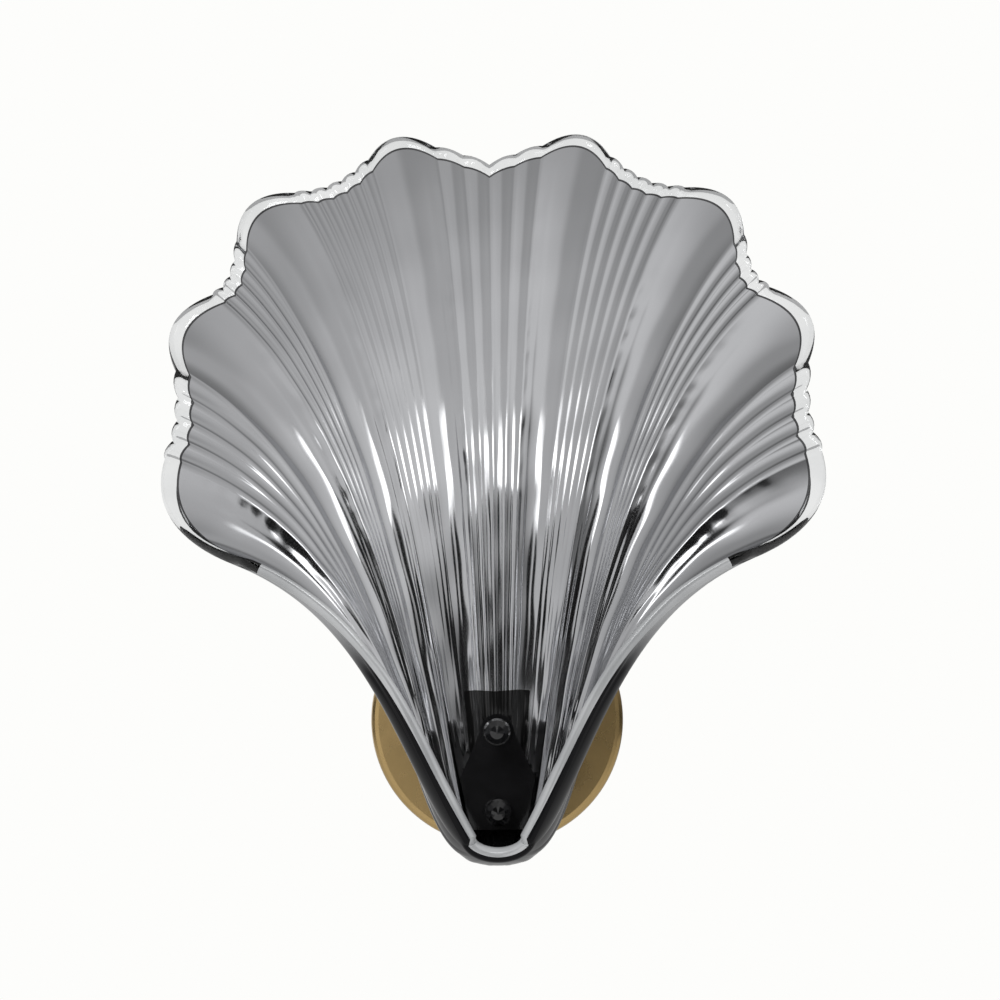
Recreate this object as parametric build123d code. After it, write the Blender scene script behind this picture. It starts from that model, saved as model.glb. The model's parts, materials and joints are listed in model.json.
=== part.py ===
"""Wall sconce with a fluted glass shell on a round brass canopy, in millimetres.

+Z is up, the wall is the plane y = 0 and the light stands out from it towards -Y.
The origin is the centre of the mounting strap's back face, on the wall.
"Stand-off" below always means a distance from the wall, so y = -stand-off.
"""

from build123d import *
import math
import os

# ---- glass shell: outline and section ---------------------------------------------------------
SHELL_WALL = 6.0            # thickness of the pressed glass
SHELL_LIP = 3.0             # reach of the bevelled lip past the cut edge
LIP_SHOULDER_SHARE = 0.25   # where across the wall the lip's two outer corners stand
FAN_CENTRE_Z = 64.0         # height of the point that the flutes fan out from at the rim
FAN_EDGE_DEG = 87.7         # fan angle of the side edge, measured from straight up
GROUP_DIP = 4.5             # how far the rim draws in along a group of narrow flutes
RIM_TOP_STANDOFF = 46.0     # stand-off of the rim at the top, which curls back towards the wall
RIM_LEAN = 0.48             # stand-off gained by the rim for each mm it comes down

# ---- glass shell: flutes ----------------------------------------------------------------------
FLUTE_DEPTH = 2.0           # depth of a narrow flute at the rim
LOBE_DEPTH = 7.5            # depth of a broad lobe at the rim
FLUTE_RIM_BULGE = 1.8       # how far a narrow flute stands out of the rim line
LOBE_RIM_BULGE = 10.4       # how far a broad lobe stands out of the rim line
FLUTE_STRIPS = 2            # straight strips that a narrow flute's front is drawn with
LOBE_STRIPS = 6             # and a broad lobe's front
BACK_GROUP_STRIPS = 2       # strips on the back, for a whole group of narrow flutes
BACK_LOBE_STRIPS = 3        # and for a broad lobe
# Borders between groups of narrow flutes and broad lobes, from the top down to the side edge:
# their fan angles and the rim's distance from the fan's centre. The first span is half of the
# centre group.
BORDER_ANGLES_DEG = (0.0, 7.3, 16.6, 27.5, 37.7, 45.3, 57.6, 71.0, FAN_EDGE_DEG)
BORDER_RADII = (157.5, 166.5, 167.3, 166.0, 161.8, 151.6, 143.5, 131.5, 92.5)
FLUTES_PER_SPAN = (2, 1, 5, 1, 4, 1, 4, 1)   # 1 is a broad lobe
FLUTE_GROWTH = (0.0, 0.08, 0.2, 0.42, 0.75, 1.0)   # share of the depth at each row, toe to rim

# ---- glass shell: rows of control points that draw the scoop, from the toe up -----------------
SCOOP_HALF_WIDTHS = (9.0, 17.5, 28.0, 38.5, 61.0)           # at the side edges
SCOOP_EDGE_STANDOFFS = (122.0, 122.0, 122.0, 126.0, 122.0)
SCOOP_EDGE_HEIGHTS = (-38.0, -22.0, 0.0, 32.0, 54.0)
SCOOP_FLOOR_STANDOFFS = (120.0, 86.0, 84.0, 92.0, 90.0)     # on the middle line
SCOOP_FLOOR_HEIGHTS = (-43.0, -54.0, -46.0, 20.0, 148.0)
SCOOP_SQUARENESS = (0.0, 0.3, 0.35, 0.2, 0.1)

# ---- wall side --------------------------------------------------------------------------------
CANOPY_RADIUS = 51.0
CANOPY_DEPTH = 20.0
CANOPY_WALL = 1.2
CANOPY_EDGE_RADIUS = 3.0
STRAP_END = 5.5             # strap past each canopy stud
STRAP_WIDTH = 16.0
STRAP_THICKNESS = 2.0
WALL_SLOT_TO_STUD = 11.5
WALL_SLOT_LENGTH = 10.0
WALL_SLOT_WIDTH = 4.5
CANOPY_STUD_INSET = 9.5     # from the canopy's edge in to each stud
CANOPY_STUD_RADIUS = 2.0
CANOPY_NUT_RADIUS = 4.2
CANOPY_NUT_SKIRT = 1.8
CANOPY_STUD_STICK_OUT = 3.0
EARTH_SCREW_Z = -14.0
EARTH_SCREW_RADIUS = 2.0
EARTH_HEAD_RADIUS = 4.0
EARTH_HEAD_HEIGHT = 2.4
TERMINAL_LENGTH = 22.0
TERMINAL_HEIGHT = 14.0
TERMINAL_DEPTH = 12.0
TERMINAL_Z = 16.0
TERMINAL_POLES = 2
TERMINAL_SCREW_RADIUS = 1.6
TERMINAL_SCREW_DEPTH = 4.0

# ---- arm, clamp and their fasteners -----------------------------------------------------------
ROD_RADIUS = 3.0            # M6 rod through the arm, and the lower M6 stud
ROD_REAR_STANDOFF = 10.0
ARM_RADIUS = 7.0
ARM_BORE_RADIUS = 3.6
ARM_FRONT_STANDOFF = 76.0
STUD_SPACING = 31.0         # from the rod down to the lower stud
BRACKET_THICKNESS = 1.5
CLAMP_REAR_THICKNESS = 3.0
CLAMP_FRONT_THICKNESS = 3.5
CLAMP_GAP = 15.9            # between the two clamp plates, filled by glass and gaskets
CLAMP_TAB_RADIUS = 6.5      # rounded tab over the upper nut
CLAMP_SHOULDER_HALF_WIDTH = 14.5
CLAMP_FOOT_HALF_WIDTH = 10.5
CLAMP_SHOULDER_Z = -18.0
CLAMP_FOOT_Z = -38.0
CLAMP_CORNER_RADIUS = 2.0
GASKET_INSET = 0.8
SLEEVE_RADIUS = 4.3
GLASS_HOLE_RADIUS = 4.5
WASHER_RADIUS = 5.4
WASHER_THICKNESS = 1.0
ROD_WASHER_RADIUS = 8.8     # the wider washer behind the canopy
CAP_NUT_RADIUS = 5.2
CAP_NUT_SKIRT = 3.6
CAP_NUT_BORE_DEPTH = 6.4
HEX_ACROSS_FLATS = 10.0
HEX_HEIGHT = 5.0
ROD_STICK_OUT = 5.8         # rod past the washer, inside the cap nut
HOLE_CLEARANCE = 0.2        # radial, holes that a fixed rod or screw passes through
TURNING_CLEARANCE = 0.05    # radial, cap nuts on their studs

# ---- lampholder, lead and bulb ----------------------------------------------------------------
LAMP_STANDOFF = 62.0
BRACKET_WIDTH = 16.0
BRACKET_LOW_Z = -8.0
SHELF_Z = 22.0              # top of the bracket's shelf, under the lampholder
SHELF_OVERHANG = 4.0        # shelf behind the lampholder
HOLDER_LENGTH = 22.0
HOLDER_DEPTH = 14.0
HOLDER_HEIGHT = 20.0
HOLDER_CHAMFER = 1.0
HOLDER_SCREW_RADIUS = 1.5
HOLDER_SCREW_LENGTH = 7.0
HOLDER_SCREW_HEAD_RADIUS = 2.8
HOLDER_SCREW_HEAD_HEIGHT = 1.8
PIN_SPACING = 9.0
PIN_RADIUS = 0.9
PIN_LENGTH = 11.0
PIN_CLEARANCE = 0.1
CONTACT_RADIUS = 1.9
CONTACT_HEIGHT = 9.0
BULB_RADIUS = 6.75
BULB_WALL = 0.9
BULB_LENGTH = 34.0
PINCH_WIDTH = 13.0
PINCH_DEPTH = 4.4
PINCH_HEIGHT = 9.0
BULB_SEAT_GAP = 0.3
FILAMENT_RADIUS = 0.35
FILAMENT_HEIGHT = 18.0
LEAD_RADIUS = 2.2
LEAD_BEND_SHARE = 0.7       # share of the lead's rise that its bend takes
LEAD_TO_STUD = 10.5         # from the lead's hole out to the upper canopy stud
GROMMET_RADIUS = 4.0
GROMMET_FLANGE_RADIUS = 5.0
GROMMET_FLANGE = 1.0

# ---- places worked out from the sizes above ---------------------------------------------------
CANOPY_STUD_SPACING = 2 * (CANOPY_RADIUS - CANOPY_STUD_INSET)
STRAP_LENGTH = CANOPY_STUD_SPACING + 2 * STRAP_END
WALL_SLOT_SPACING = CANOPY_STUD_SPACING - 2 * WALL_SLOT_TO_STUD
LEAD_Z = CANOPY_STUD_SPACING / 2 - LEAD_TO_STUD
BRACKET_FRONT = ARM_FRONT_STANDOFF + BRACKET_THICKNESS
CLAMP_REAR_FRONT = BRACKET_FRONT + CLAMP_REAR_THICKNESS
CLAMP_FRONT_BACK = CLAMP_REAR_FRONT + CLAMP_GAP
CLAMP_FRONT_FACE = CLAMP_FRONT_BACK + CLAMP_FRONT_THICKNESS
WASHER_FRONT = CLAMP_FRONT_FACE + WASHER_THICKNESS
ROD_FRONT_STANDOFF = WASHER_FRONT + ROD_STICK_OUT
STUD_Z = -STUD_SPACING
CANOPY_INSIDE = CANOPY_DEPTH - CANOPY_WALL
ROUNDING_STEPS_DEG = (0, 30, 60, 90)    # a rounded corner or dome is turned as three chords


# ---- small builders ---------------------------------------------------------------------------
def at_standoff(distance):
    """Plane parallel to the wall, with X across, Z up and its normal away from the wall."""
    return Plane.XZ.offset(distance)


def disc_between(radius, near, far, x=0.0, z=0.0):
    """Round bar square to the wall, from one stand-off to another."""
    return extrude(at_standoff(near) * Pos(x, z) * Circle(radius), far - near)


def ring_between(radius, bore, near, far, x=0.0, z=0.0):
    return disc_between(radius, near, far, x, z) - disc_between(bore, near, far, x, z)


def hex_nut_between(near, far, z=0.0):
    hexagon = RegularPolygon(HEX_ACROSS_FLATS / 2, 6, major_radius=False)
    body = extrude(at_standoff(near) * Pos(0, z) * hexagon, far - near)
    return body - disc_between(ROD_RADIUS, near, far, 0, z)


def rounding(radius, corner_x, corner_y):
    """Points of a quarter round about a corner's centre, from the side round to the top."""
    return [(corner_x + radius * math.cos(math.radians(turn)),
             corner_y + radius * math.sin(math.radians(turn))) for turn in ROUNDING_STEPS_DEG]


def turned(outline, z=0.0):
    """Solid turned about an axis square to the wall, from (radius, stand-off) points."""
    profile = make_face(Polyline([(r, -standoff) for r, standoff in outline], close=True))
    return Pos(0, 0, z) * revolve(profile, Axis.Y)


def domed_nut(radius, skirt, bore, bore_depth, standoff, z):
    """Round cap nut: a straight skirt under a dome, with a blind bore."""
    dome = rounding(radius, 0, standoff + skirt)
    bore_end = standoff + bore_depth
    return turned([(bore, standoff), (radius, standoff), *dome, (0, bore_end), (bore, bore_end)], z)


# ---- the shell's surface ----------------------------------------------------------------------
def mix(a, b, share):
    return a + (b - a) * share


def rim_radius(angle):
    """Distance of the rim from the fan's centre, seen from the front."""
    angle = abs(angle)
    for i, count in enumerate(FLUTES_PER_SPAN):
        start, end = BORDER_ANGLES_DEG[i:i + 2]
        if angle <= end:
            share = (angle - start) / (end - start)
            dips = count > 1 and i > 0
            dip = 4 * GROUP_DIP * share * (1 - share) if dips else 0
            return mix(*BORDER_RADII[i:i + 2], share) - dip
    return BORDER_RADII[-1]


def scoop_control(row, angle):
    """Control point of a U-shaped row: at the side edge, on the middle line, or between them."""
    turn = math.radians(90 * angle / FAN_EDGE_DEG)
    squareness = SCOOP_SQUARENESS[row]
    across = math.sin(turn) * (1 + squareness * math.cos(turn) ** 2)
    inward = math.cos(turn) * (1 + squareness * math.sin(turn) ** 2)
    standoff = mix(SCOOP_EDGE_STANDOFFS[row], SCOOP_FLOOR_STANDOFFS[row], inward)
    height = mix(SCOOP_EDGE_HEIGHTS[row], SCOOP_FLOOR_HEIGHTS[row], inward)
    return Vector(SCOOP_HALF_WIDTHS[row] * across, -standoff, height)


RIM_ROW = len(SCOOP_HALF_WIDTHS)
ROWS = RIM_ROW + 1


def control(row, angle):
    """Control point of the smooth surface, without flutes."""
    if row < RIM_ROW:
        return scoop_control(row, angle)
    height = rim_radius(angle) * math.cos(math.radians(angle))
    drop = rim_radius(0) - height
    across = rim_radius(angle) * math.sin(math.radians(angle))
    return Vector(across, -RIM_TOP_STANDOFF - RIM_LEAN * drop, FAN_CENTRE_Z + height)


def on_surface(angle, along):
    """Point of the smooth surface: along runs from 0 at the toe to 1 at the rim."""
    point = Vector(0, 0, 0)
    for row in range(ROWS):
        weight = math.comb(RIM_ROW, row) * along ** row * (1 - along) ** (RIM_ROW - row)
        point += control(row, angle) * weight
    return point


def outward(row, angle):
    """Unit normal away from the viewer, where a row of control points acts the most."""
    step = 0.01
    along = min(max(row / RIM_ROW, step), 1 - step)
    down_flute = on_surface(angle, along + step) - on_surface(angle, along - step)
    across = on_surface(angle + 1, along) - on_surface(angle - 1, along)
    return down_flute.cross(across).normalized()


def past_edge(row, angle):
    """Unit direction in which the lip stands out at a point of the surface's border."""
    direction = Vector(0, 0, 0)
    if row == RIM_ROW:
        direction += (control(RIM_ROW, angle) - control(RIM_ROW - 1, angle)).normalized()
    if row == 0:
        direction += (control(0, angle) - control(1, angle)).normalized()
    if abs(angle) == FAN_EDGE_DEG:
        inner = control(row, 0.9 * angle)
        direction += (control(row, angle) - inner).normalized()
    return direction.normalized()


def spans():
    """Spans of the fan from the left side edge to the right one, as (start, end, flutes)."""
    borders = list(zip(BORDER_ANGLES_DEG, BORDER_ANGLES_DEG[1:], FLUTES_PER_SPAN))
    mirrored = [(-end, -start, count) for start, end, count in borders]
    return mirrored[::-1] + borders


def on_arc(row, first, last, depth, bulge, share):
    """Point of a flute's arc, which swings away from the viewer between two cusps."""
    middle = (first + last) / 2
    arc = 4 * share * (1 - share)
    angle = mix(first, last, share)
    point = control(row, angle) + outward(row, angle) * (depth * FLUTE_GROWTH[row] * arc)
    if row == RIM_ROW:
        radial = Vector(math.sin(math.radians(middle)), 0, math.cos(math.radians(middle)))
        point += radial * (bulge * arc)
    return point


def flute_column(start, end, count, share):
    """One line down the front, as control points, at a share of the way across a span."""
    depth, bulge = (LOBE_DEPTH, LOBE_RIM_BULGE) if count == 1 else (FLUTE_DEPTH, FLUTE_RIM_BULGE)
    flute = min(int(share * count + 1e-6), count - 1)
    first = mix(start, end, flute / count)
    last = mix(start, end, (flute + 1) / count)
    within = share * count - flute
    return [on_arc(row, first, last, depth, bulge, within) for row in range(ROWS)]


def back_column(start, end, count, share):
    """One line down the back, where a group of narrow flutes doesn't show."""
    angle = mix(start, end, share)
    depth, bulge = (LOBE_DEPTH, LOBE_RIM_BULGE) if count == 1 else (0, 0)
    return [on_arc(row, start, end, depth, bulge, share) + outward(row, angle) * SHELL_WALL
            for row in range(ROWS)]


def ruled_strip(column, next_column):
    return Face.make_bezier_surface([[a, b] for a, b in zip(column, next_column)])


def lip_corners(front, back, direction):
    """The bevelled lip's four corners, from the front face to the back face."""
    reach = direction * SHELL_LIP
    return [front, mix(front, back, LIP_SHOULDER_SHARE) + reach,
            mix(back, front, LIP_SHOULDER_SHARE) + reach, back]


def span_faces(start, end, count):
    """Front, back, toe lip and rim lip of one span of the fan."""
    strips = LOBE_STRIPS if count == 1 else count * FLUTE_STRIPS
    back_strips = BACK_LOBE_STRIPS if count == 1 else BACK_GROUP_STRIPS
    shares = [i / strips for i in range(strips + 1)]
    front = [flute_column(start, end, count, share) for share in shares]
    back = [back_column(start, end, count, i / back_strips) for i in range(back_strips + 1)]
    faces = [ruled_strip(*pair) for pair in zip(front, front[1:])]
    faces += [ruled_strip(*pair) for pair in zip(back, back[1:])]
    for row in (0, RIM_ROW):
        corners = []
        for share, column in zip(shares, front):
            place = share * back_strips
            i = min(int(place), back_strips - 1)
            behind = mix(back[i][row], back[i + 1][row], place - i)
            angle = mix(start, end, share)
            corners.append(lip_corners(column[row], behind, past_edge(row, angle)))
        for near, far in zip(corners, corners[1:]):
            faces += [ruled_strip(near[i:i + 2], far[i:i + 2]) for i in range(3)]
    return faces


def side_lip_faces(angle, start, end):
    """Bevelled lip down one side edge of the shell."""
    share = 0 if angle == start else 1
    front = flute_column(start, end, 1, share)
    back = back_column(start, end, 1, share)
    corners = [lip_corners(f, b, past_edge(row, angle))
               for row, (f, b) in enumerate(zip(front, back))]
    columns = list(zip(*corners))
    return [ruled_strip(*pair) for pair in zip(columns, columns[1:])]


def build_glass_blank():
    """Fluted scoop as one closed skin, before its two holes."""
    faces = []
    for span in spans():
        faces += span_faces(*span)
    for angle, span in ((-FAN_EDGE_DEG, spans()[0]), (FAN_EDGE_DEG, spans()[-1])):
        faces += side_lip_faces(angle, *span[:2])
    return Solid(Shell(faces))


# ---- sub-parts --------------------------------------------------------------------------------
def make_glass_shell(blank):
    shell = blank
    for z in (0, STUD_Z):
        shell = shell - disc_between(GLASS_HOLE_RADIUS, CLAMP_REAR_FRONT, CLAMP_FRONT_BACK, 0, z)
    return shell


def clamp_outline(inset=0.0):
    """Tab round the upper nut, shoulders, and a narrower straight foot."""
    tab = CLAMP_TAB_RADIUS - inset
    shoulder = CLAMP_SHOULDER_HALF_WIDTH - inset
    foot = CLAMP_FOOT_HALF_WIDTH - inset
    foot_z = CLAMP_FOOT_Z + inset
    plate = make_face(Polyline(
        (-foot, foot_z), (foot, foot_z), (shoulder, CLAMP_SHOULDER_Z), (tab, 0),
        (-tab, 0), (-shoulder, CLAMP_SHOULDER_Z), close=True,
    ))
    outline = plate + Circle(tab)
    corners = outline.vertices().filter_by(lambda v: v.Y < CLAMP_SHOULDER_Z + 1)
    return fillet(corners, CLAMP_CORNER_RADIUS)


def make_clamp_plate(near, far):
    plate = extrude(at_standoff(near) * clamp_outline(), far - near)
    for z in (0, STUD_Z):
        plate -= disc_between(ROD_RADIUS + HOLE_CLEARANCE, near, far, 0, z)
    return plate


def make_gasket(near, far, blank):
    """Rubber pad moulded to the glass on one face and to its clamp plate on the other."""
    pad = extrude(at_standoff(near) * clamp_outline(GASKET_INSET), far - near)
    for z in (0, STUD_Z):
        pad -= disc_between(GLASS_HOLE_RADIUS, near, far, 0, z)
    return largest(pad - blank)


def largest(shape):
    return max(shape.solids(), key=lambda solid: solid.volume)


def make_sleeves():
    bore = ROD_RADIUS + HOLE_CLEARANCE
    return [ring_between(SLEEVE_RADIUS, bore, CLAMP_REAR_FRONT, CLAMP_FRONT_BACK, 0, z)
            for z in (0, STUD_Z)]


def dish_outline(radius, depth, edge_radius):
    """Half outline of a flat dish with a rounded front edge, as (radius, stand-off) points."""
    return [(0, 0), (radius, 0), *rounding(edge_radius, radius - edge_radius, depth - edge_radius),
            (0, depth)]


def make_canopy():
    dish = turned(dish_outline(CANOPY_RADIUS, CANOPY_DEPTH, CANOPY_EDGE_RADIUS))
    dish -= turned(dish_outline(CANOPY_RADIUS - CANOPY_WALL, CANOPY_INSIDE,
                                CANOPY_EDGE_RADIUS - CANOPY_WALL))
    dish -= disc_between(ROD_RADIUS + HOLE_CLEARANCE, 0, CANOPY_DEPTH)
    dish -= disc_between(GROMMET_RADIUS, 0, CANOPY_DEPTH, 0, LEAD_Z)
    for z in (-CANOPY_STUD_SPACING / 2, CANOPY_STUD_SPACING / 2):
        dish -= disc_between(CANOPY_STUD_RADIUS + HOLE_CLEARANCE, 0, CANOPY_DEPTH, 0, z)
    return dish


def make_wall_strap():
    strap = SlotOverall(STRAP_LENGTH, STRAP_WIDTH, rotation=90)
    for sign in (-1, 1):
        slot = SlotOverall(WALL_SLOT_LENGTH, WALL_SLOT_WIDTH, rotation=90)
        strap -= Pos(0, sign * WALL_SLOT_SPACING / 2) * slot
        strap -= Pos(0, sign * CANOPY_STUD_SPACING / 2) * Circle(CANOPY_STUD_RADIUS)
    strap -= Pos(0, EARTH_SCREW_Z) * Circle(EARTH_SCREW_RADIUS)
    return extrude(at_standoff(0) * strap, STRAP_THICKNESS)


def make_canopy_studs():
    tip = CANOPY_DEPTH + CANOPY_STUD_STICK_OUT
    return [disc_between(CANOPY_STUD_RADIUS, 0, tip, 0, sign * CANOPY_STUD_SPACING / 2)
            for sign in (-1, 1)]


def make_canopy_nuts():
    return [domed_nut(CANOPY_NUT_RADIUS, CANOPY_NUT_SKIRT, CANOPY_STUD_RADIUS,
                      CANOPY_STUD_STICK_OUT, CANOPY_DEPTH, sign * CANOPY_STUD_SPACING / 2)
            for sign in (-1, 1)]


def make_earth_screw():
    shank = disc_between(EARTH_SCREW_RADIUS, 0, STRAP_THICKNESS, 0, EARTH_SCREW_Z)
    top = STRAP_THICKNESS + EARTH_HEAD_HEIGHT
    head = disc_between(EARTH_HEAD_RADIUS, STRAP_THICKNESS, top, 0, EARTH_SCREW_Z)
    slot = Pos(0, -top, EARTH_SCREW_Z) * Box(2 * EARTH_HEAD_RADIUS, EARTH_HEAD_HEIGHT, 1.0)
    return shank + head - slot


def terminal_screw_places():
    pitch = TERMINAL_LENGTH / (TERMINAL_POLES + 0.5)
    return [(i - (TERMINAL_POLES - 1) / 2) * pitch for i in range(TERMINAL_POLES)]


def make_terminal_block():
    front = STRAP_THICKNESS + TERMINAL_DEPTH
    outline = RectangleRounded(TERMINAL_LENGTH, TERMINAL_HEIGHT, 1.5)
    block = extrude(at_standoff(STRAP_THICKNESS) * Pos(0, TERMINAL_Z) * outline, TERMINAL_DEPTH)
    for x in terminal_screw_places():
        block -= disc_between(TERMINAL_SCREW_RADIUS, front - TERMINAL_SCREW_DEPTH, front,
                              x, TERMINAL_Z)
    return block


def make_terminal_screws():
    front = STRAP_THICKNESS + TERMINAL_DEPTH
    return [disc_between(TERMINAL_SCREW_RADIUS, front - TERMINAL_SCREW_DEPTH, front - 1,
                         x, TERMINAL_Z)
            for x in terminal_screw_places()]


def make_grommet():
    inside = CANOPY_INSIDE - GROMMET_FLANGE
    outside = CANOPY_DEPTH + GROMMET_FLANGE
    grommet = disc_between(GROMMET_RADIUS, inside, outside, 0, LEAD_Z)
    grommet += disc_between(GROMMET_FLANGE_RADIUS, inside, CANOPY_INSIDE, 0, LEAD_Z)
    grommet += disc_between(GROMMET_FLANGE_RADIUS, CANOPY_DEPTH, outside, 0, LEAD_Z)
    return grommet - disc_between(LEAD_RADIUS, inside, outside, 0, LEAD_Z)


def make_lamp_lead():
    """Sleeved twin lead: up out of the terminal block, then forward into the lampholder."""
    start_y = -(STRAP_THICKNESS + TERMINAL_DEPTH / 2)
    start_z = TERMINAL_Z + TERMINAL_HEIGHT / 2
    bend = LEAD_BEND_SHARE * (LEAD_Z - start_z)
    path = Polyline(
        (0, start_y, start_z), (0, start_y, LEAD_Z - bend), (0, start_y - bend, LEAD_Z),
        (0, HOLDER_DEPTH / 2 - LAMP_STANDOFF, LEAD_Z),
    )
    section = Plane(origin=(0, start_y, start_z), z_dir=(0, 0, 1)) * Circle(LEAD_RADIUS)
    return sweep(section, path, transition=Transition.RIGHT)


def make_lamp_bracket():
    """L-shaped strip: an upright leg clamped on the rod and a shelf back under the lampholder."""
    shelf_back = LAMP_STANDOFF - HOLDER_DEPTH / 2 - SHELF_OVERHANG
    leg_height = SHELF_Z - BRACKET_LOW_Z
    middle = (SHELF_Z + BRACKET_LOW_Z) / 2
    leg = extrude(at_standoff(ARM_FRONT_STANDOFF) * Pos(0, middle)
                  * Rectangle(BRACKET_WIDTH, leg_height), BRACKET_THICKNESS)
    shelf_depth = BRACKET_FRONT - shelf_back
    shelf = Pos(0, -(shelf_back + shelf_depth / 2), SHELF_Z - BRACKET_THICKNESS / 2)
    bracket = leg + shelf * Box(BRACKET_WIDTH, shelf_depth, BRACKET_THICKNESS)
    bend = bracket.edges().filter_by(Axis.X).group_by(Axis.Z)[-1].sort_by(Axis.Y)[0]
    bracket = fillet(bend, BRACKET_THICKNESS)
    bracket -= disc_between(ROD_RADIUS + HOLE_CLEARANCE, ARM_FRONT_STANDOFF, BRACKET_FRONT)
    hole = Cylinder(HOLDER_SCREW_RADIUS + HOLE_CLEARANCE, 4 * BRACKET_THICKNESS)
    return bracket - Pos(0, -LAMP_STANDOFF, SHELF_Z) * hole


def upright_disc(radius, low, high, x=0.0):
    """Round bar along Z, on the lamp's own axis or beside it."""
    return Pos(x, -LAMP_STANDOFF, (low + high) / 2) * Cylinder(radius, high - low)


def pin_places():
    return (-PIN_SPACING / 2, PIN_SPACING / 2)


HOLDER_TOP = SHELF_Z + HOLDER_HEIGHT
BULB_LOW_Z = HOLDER_TOP + BULB_SEAT_GAP
PIN_TIP_Z = BULB_LOW_Z - PIN_LENGTH
CONTACT_LOW_Z = PIN_TIP_Z - 2


def make_lampholder():
    body = extrude(Plane.XY.offset(SHELF_Z) * Pos(0, -LAMP_STANDOFF)
                   * SlotOverall(HOLDER_LENGTH, HOLDER_DEPTH), HOLDER_HEIGHT)
    top_edges = body.faces().sort_by(Axis.Z)[-1].edges()
    body = chamfer(top_edges, HOLDER_CHAMFER)
    for x in pin_places():
        body -= upright_disc(PIN_RADIUS + PIN_CLEARANCE, CONTACT_LOW_Z, HOLDER_TOP, x)
        body -= upright_disc(CONTACT_RADIUS, CONTACT_LOW_Z, CONTACT_LOW_Z + CONTACT_HEIGHT, x)
    return body - upright_disc(HOLDER_SCREW_RADIUS, SHELF_Z, SHELF_Z + HOLDER_SCREW_LENGTH)


def make_holder_contacts():
    bore = PIN_RADIUS + PIN_CLEARANCE
    high = CONTACT_LOW_Z + CONTACT_HEIGHT
    return [upright_disc(CONTACT_RADIUS, CONTACT_LOW_Z, high, x)
            - upright_disc(bore, CONTACT_LOW_Z, high, x) for x in pin_places()]


def make_holder_screw():
    shelf_under = SHELF_Z - BRACKET_THICKNESS
    shank = upright_disc(HOLDER_SCREW_RADIUS, shelf_under, SHELF_Z + HOLDER_SCREW_LENGTH - 1)
    head = upright_disc(HOLDER_SCREW_HEAD_RADIUS, shelf_under - HOLDER_SCREW_HEAD_HEIGHT,
                        shelf_under)
    slot = Pos(0, -LAMP_STANDOFF, shelf_under - HOLDER_SCREW_HEAD_HEIGHT)
    return shank + head - slot * Box(0.8, 2 * HOLDER_SCREW_HEAD_RADIUS, HOLDER_SCREW_HEAD_HEIGHT)


def bulb_pins():
    """Two pins that run on through the pinch as the filament's supports."""
    top = BULB_LOW_Z + PINCH_HEIGHT + FILAMENT_HEIGHT
    pins = []
    for x in pin_places():
        pin = upright_disc(PIN_RADIUS, PIN_TIP_Z, BULB_LOW_Z, x)
        support_x = x / 2
        support = upright_disc(FILAMENT_RADIUS, BULB_LOW_Z + 2, top, support_x)
        shoulder = Pos(0.75 * x, -LAMP_STANDOFF, BULB_LOW_Z + 1)
        foil = shoulder * Box(abs(x) / 2 + 2 * FILAMENT_RADIUS, 2 * FILAMENT_RADIUS, 2.0)
        pins.append(pin + foil + support)
    return pins


def bulb_profile(radius, height, base):
    """Half outline of the capsule: straight side under a round top."""
    crown = rounding(radius, 0, base + height - radius)
    return make_face(Polyline([(0, base), (radius, base), *crown], close=True))


def make_bulb_envelope(pins):
    base = BULB_LOW_Z + PINCH_HEIGHT
    outer = revolve(Plane.XZ * bulb_profile(BULB_RADIUS, BULB_LENGTH, base), Axis.Z)
    inner = revolve(Plane.XZ * bulb_profile(BULB_RADIUS - BULB_WALL, BULB_LENGTH - 2 * BULB_WALL,
                                            base + BULB_WALL), Axis.Z)
    pinch = Pos(0, 0, BULB_LOW_Z + PINCH_HEIGHT / 2) * Box(PINCH_WIDTH, PINCH_DEPTH, PINCH_HEIGHT)
    envelope = Pos(0, -LAMP_STANDOFF, 0) * (outer - inner + pinch)
    for pin in pins:
        envelope = envelope - pin
    return envelope


def make_filament():
    """Filament: a straight wire between two short rises from the tips of the supports."""
    z = BULB_LOW_Z + PINCH_HEIGHT + FILAMENT_HEIGHT
    span = PIN_SPACING / 4
    path = Polyline(
        (-span, -LAMP_STANDOFF, z), (-span, -LAMP_STANDOFF, z + span),
        (span, -LAMP_STANDOFF, z + span), (span, -LAMP_STANDOFF, z),
    )
    section = Plane(origin=(-span, -LAMP_STANDOFF, z), z_dir=(0, 0, 1)) * Circle(FILAMENT_RADIUS)
    return sweep(section, path, transition=Transition.RIGHT)


def make_cap_nut(z):
    return domed_nut(CAP_NUT_RADIUS, CAP_NUT_SKIRT, ROD_RADIUS + TURNING_CLEARANCE,
                     CAP_NUT_BORE_DEPTH, WASHER_FRONT, z)


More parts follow.
